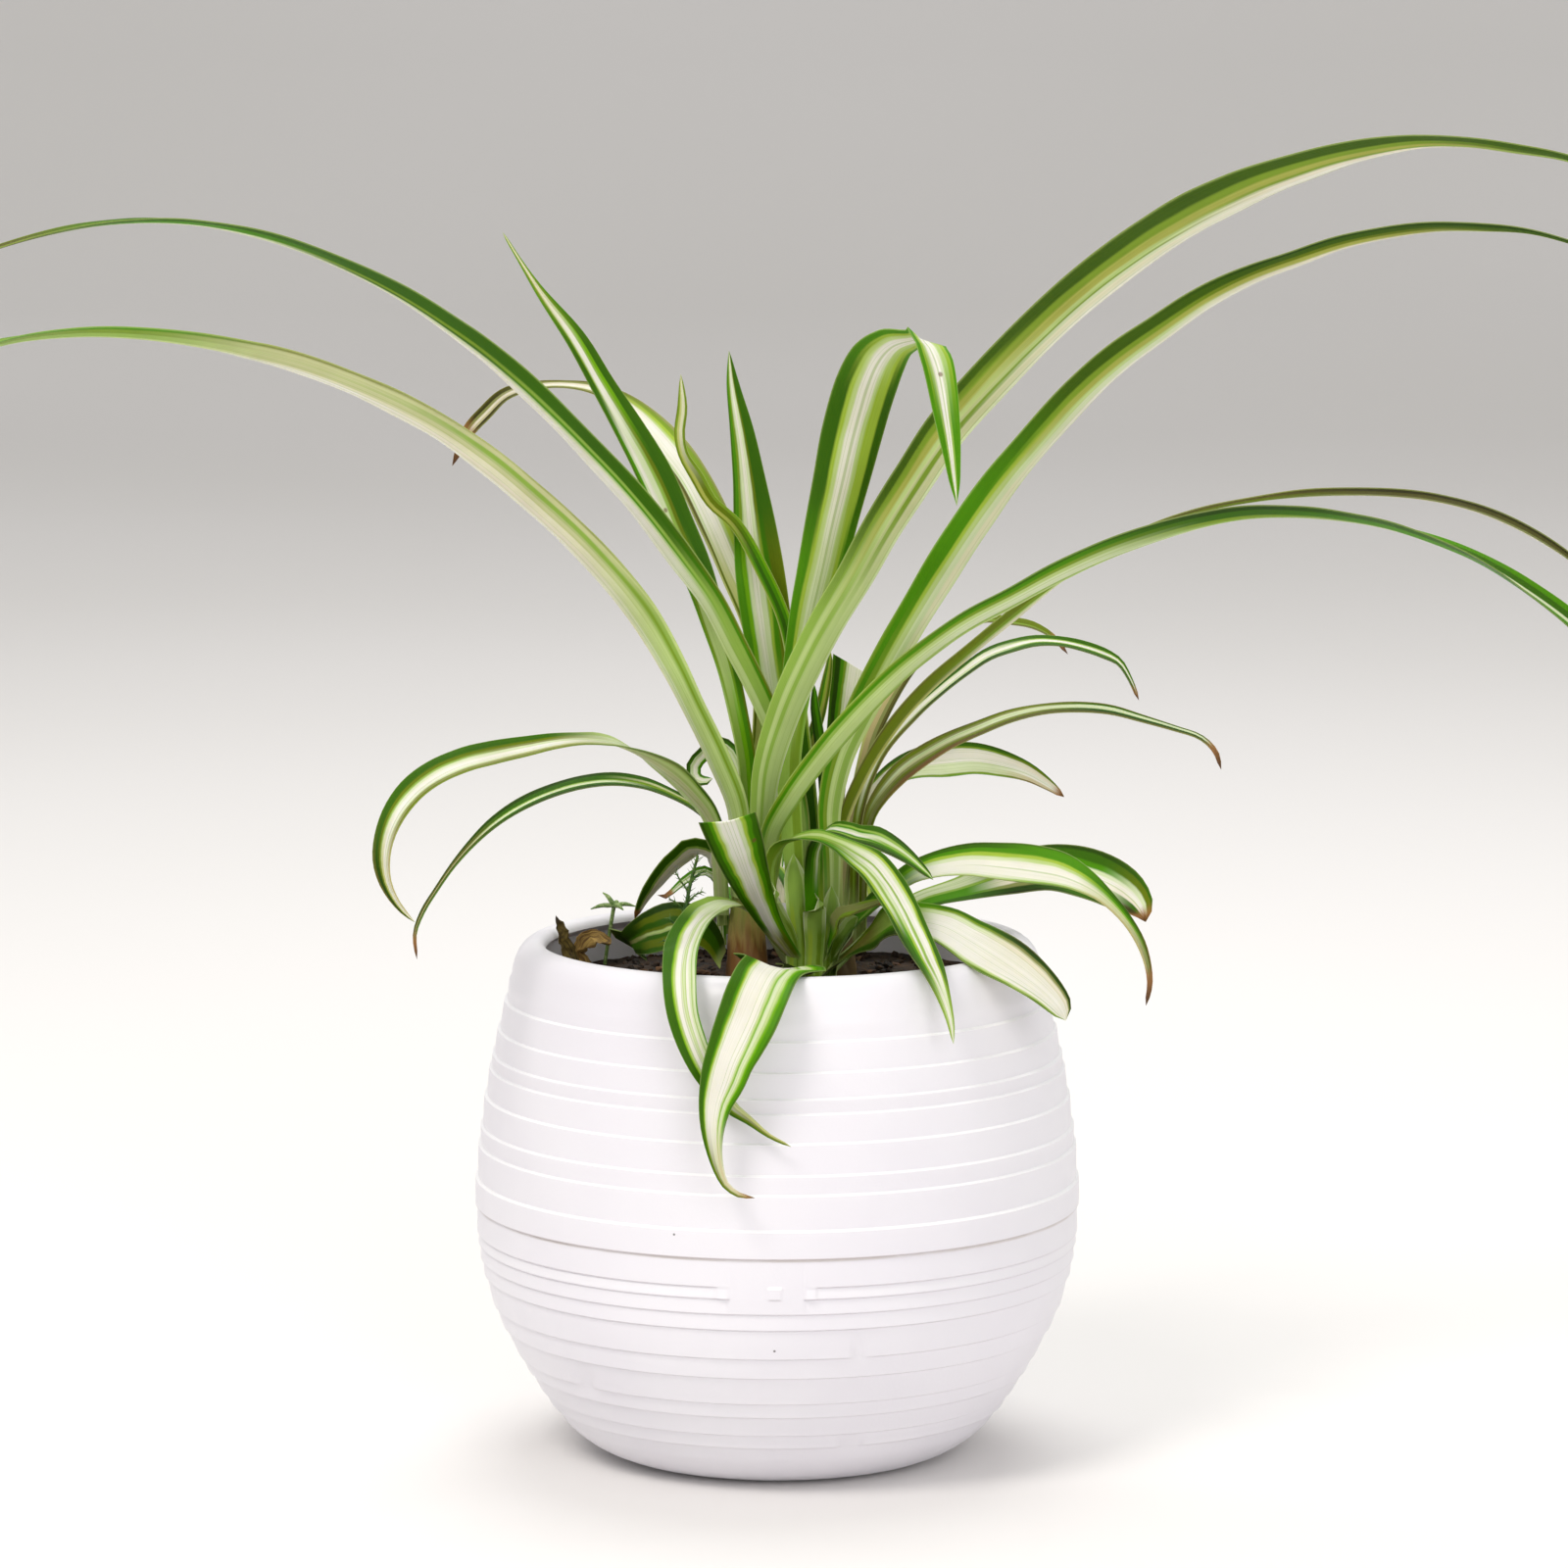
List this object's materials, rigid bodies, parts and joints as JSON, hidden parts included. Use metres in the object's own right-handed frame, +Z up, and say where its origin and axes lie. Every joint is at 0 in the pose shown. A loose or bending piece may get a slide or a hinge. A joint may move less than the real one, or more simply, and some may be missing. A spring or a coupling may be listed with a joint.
{
  "type": "potted spider plant",
  "caption": "Spider plant with striped arching leaves, growing from soil in a ringed, globe-shaped white pot that stands on its flat foot.",
  "frame": {"origin": "centre of the pot's flat foot, on the surface it stands on", "axes": "+Z up, -Y the side seen in the picture, +X to that view's right"},
  "size_m": [0.3827, 0.2181, 0.2848],
  "materials": {
    "pot": "satin white moulded plastic",
    "soil": "rough, damp, dark brown potting mix",
    "crown": "smooth, pale, fleshy leaf bases",
    "leaf": "semi-gloss, green margins and a cream centre stripe",
    "dry_leaf": "dull, papery brown",
    "moss": "soft, matt green"
  },
  "bodies": {
    "root": {"pot": "pot", "soil": "soil", "crown_left": "crown", "crown_middle": "crown", "crown_right": "crown", "leaf_long_left_low": "leaf", "leaf_long_left_high": "leaf", "leaf_upright_left": "leaf", "leaf_arching_back_left": "leaf", "leaf_small_twisted": "leaf", "leaf_upright_middle": "leaf", "leaf_bent_forward": "leaf", "leaf_long_right_top": "leaf", "leaf_long_right_second": "leaf", "leaf_long_right_third": "leaf", "leaf_long_right_thin": "leaf", "leaf_tip_behind_right": "leaf", "leaf_right_mid": "leaf", "leaf_right_lower": "leaf", "leaf_right_pale": "leaf", "leaf_trimmed_back": "leaf", "leaf_narrow_upright": "leaf", "leaf_short_behind": "leaf", "leaf_curled_left": "leaf", "leaf_left_arch_high": "leaf", "leaf_left_arch_low": "leaf", "leaf_trimmed_front": "leaf", "leaf_front_hanging": "leaf", "leaf_front_hanging_left": "leaf", "leaf_left_back_pale": "leaf", "leaf_small_pale_left": "leaf", "leaf_looped_dark": "leaf", "leaf_front_right_long": "leaf", "leaf_front_right_short": "leaf", "leaf_right_long_arch": "leaf", "leaf_right_wide_dark": "leaf", "leaf_right_over_rim": "leaf", "leaf_short_right": "leaf", "leaf_back_middle": "leaf", "leaf_back_left": "leaf", "leaf_back_right": "leaf", "leaf_back_tall": "leaf", "dry_leaf_curled": "dry_leaf", "dry_scrap_left": "dry_leaf", "clubmoss_sprig": "moss", "star_seedling": "moss"}
  },
  "joints": []
}
